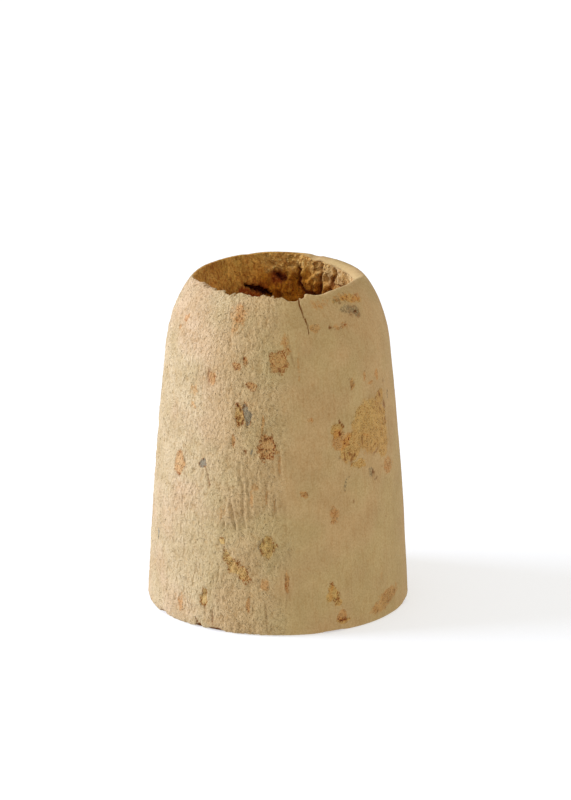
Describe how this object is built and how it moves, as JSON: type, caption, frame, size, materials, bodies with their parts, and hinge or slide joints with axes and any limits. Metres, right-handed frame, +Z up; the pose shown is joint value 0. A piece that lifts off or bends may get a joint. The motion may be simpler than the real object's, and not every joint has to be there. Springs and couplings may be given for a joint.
{
  "type": "cork stopper",
  "caption": "Tapered natural cork stopper with a rounded shoulder and a bored hollow open at its narrow end, standing on its flat wide end.",
  "frame": {"origin": "centre of the flat base, on the axis", "axes": "+Z up along the stopper's axis, from the wide base to the mouth of the hollow; the cracked and most worn side faces -Y"},
  "size_m": [0.045, 0.045, 0.0575],
  "materials": {
    "cork": "raw matte cork, unsealed"
  },
  "bodies": {
    "root": {"stopper": "cork"}
  },
  "joints": []
}
